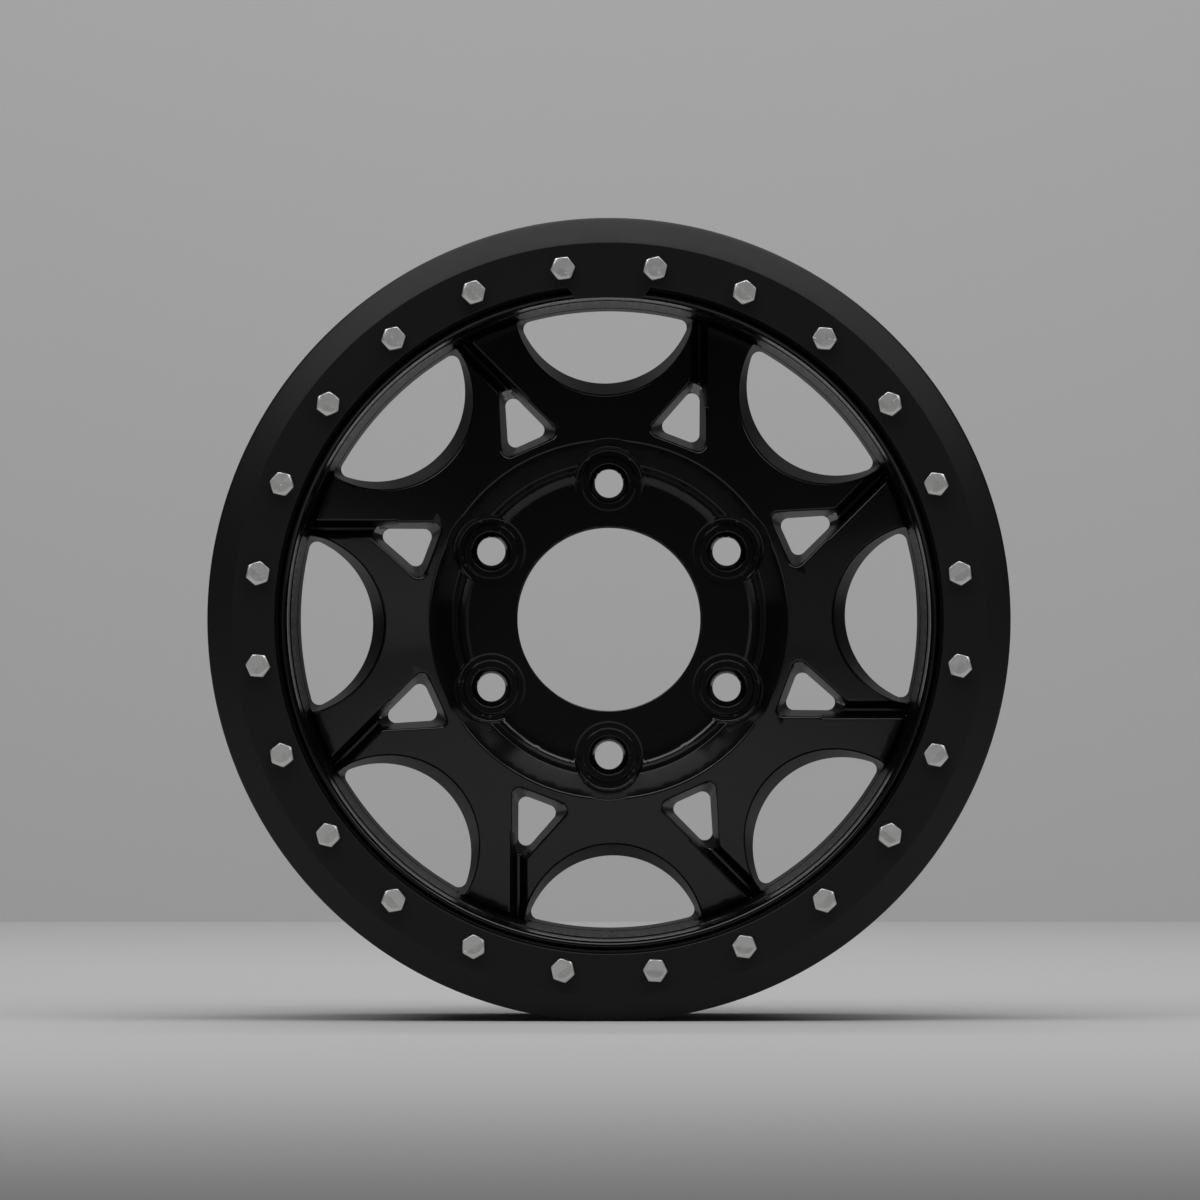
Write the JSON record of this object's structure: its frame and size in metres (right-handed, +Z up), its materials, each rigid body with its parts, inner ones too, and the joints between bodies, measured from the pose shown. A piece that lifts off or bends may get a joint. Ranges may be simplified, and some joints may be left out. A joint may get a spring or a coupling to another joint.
{
  "type": "car wheel",
  "caption": "Off-road car wheel with lens-shaped windows, split spokes and a bolted outer bead-clamp ring, bored and drilled for a studded hub.",
  "frame": {"origin": "centre of the hub bore in the plane of the hub mounting face", "axes": "+Y along the axle towards the vehicle, -Y the outboard side with the clamp ring, +Z up through one stud hole"},
  "size_m": [0.4109, 0.208, 0.411],
  "materials": {
    "gloss_black_casting": "gloss black powder coat",
    "satin_black_ring": "satin black",
    "zinc_plated_steel": "bright zinc plate",
    "zinc_plated_washers": "bright zinc plate"
  },
  "bodies": {
    "root": {"wheel": "gloss_black_casting", "beadlock_ring": "satin_black_ring", "ring_bolts": "zinc_plated_steel", "ring_washers": "zinc_plated_washers"}
  },
  "joints": []
}
